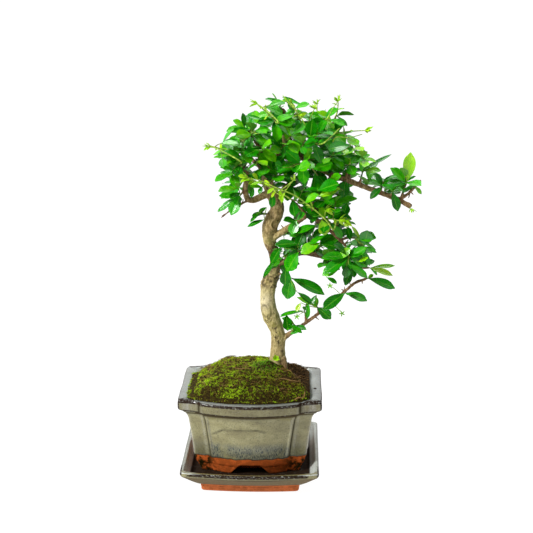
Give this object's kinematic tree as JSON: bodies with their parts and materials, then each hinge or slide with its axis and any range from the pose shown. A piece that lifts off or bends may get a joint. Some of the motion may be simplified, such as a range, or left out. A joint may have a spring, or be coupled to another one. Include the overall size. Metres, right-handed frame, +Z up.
{
  "type": "fukien tea bonsai in a glazed pot",
  "caption": "Fukien tea bonsai with a winding trunk and sprays of spoon-shaped leaves, in a bowed rectangular glazed pot on a matching saucer.",
  "frame": {"origin": "middle of the flat underside of the saucer", "axes": "+Z up along the tree, +X to the right seen from the front, the front with the mossy side of the mound faces -Y"},
  "size_m": [0.2488, 0.156, 0.4115],
  "materials": {
    "saucer_glaze": "gloss",
    "pot_glaze": "gloss",
    "mesh_plastic": "matte",
    "soil": "matte",
    "moss": "matte",
    "bark": "matte",
    "leaf": "satin"
  },
  "bodies": {
    "root": {"saucer": "saucer_glaze", "pot": "pot_glaze", "drain_mesh": "mesh_plastic", "soil": "soil", "moss": "moss", "trunk_and_branches": "bark", "spray_01_trunk": "leaf", "spray_02_trunk": "leaf", "spray_03_trunk": "leaf", "spray_04_left_up": "leaf", "spray_05_left_up": "leaf", "spray_06_left_up": "leaf", "spray_07_left_up": "leaf", "spray_08_left_low": "leaf", "spray_09_left_low": "leaf", "spray_10_left_low": "leaf", "spray_11_left_low": "leaf", "spray_12_trunk": "leaf", "spray_13_trunk": "leaf", "spray_14_trunk": "leaf", "spray_15_up_right": "leaf", "spray_16_up_right": "leaf", "spray_17_up_right": "leaf", "spray_18_up_right": "leaf", "spray_19_up_right": "leaf", "spray_20_up_right": "leaf", "spray_21_long_right": "leaf", "spray_22_long_right": "leaf", "spray_23_long_right": "leaf", "spray_24_long_right": "leaf", "spray_25_long_right": "leaf", "spray_26_long_right": "leaf", "spray_27_long_right": "leaf", "spray_28_long_right": "leaf", "spray_29_end_twig": "leaf", "spray_30_long_right": "leaf", "spray_31_long_right": "leaf", "spray_32_shoulder": "leaf", "spray_33_shoulder": "leaf", "spray_34_shoulder": "leaf", "spray_35_shoulder": "leaf", "spray_36_drooping": "leaf", "spray_37_drooping": "leaf", "spray_38_drooping": "leaf", "spray_39_drooping": "leaf", "spray_40_mid_right": "leaf", "spray_41_mid_right": "leaf", "spray_42_mid_right": "leaf", "spray_43_mid_right": "leaf", "spray_44_mid_right": "leaf", "spray_45_low_right": "leaf", "spray_46_low_right": "leaf", "spray_47_low_right": "leaf", "spray_48_low_right": "leaf", "spray_49_low_right": "leaf", "spray_50_trunk": "leaf", "spray_51_back_high": "leaf", "spray_52_back_middle": "leaf", "spray_53_back_left": "leaf"}
  },
  "joints": []
}
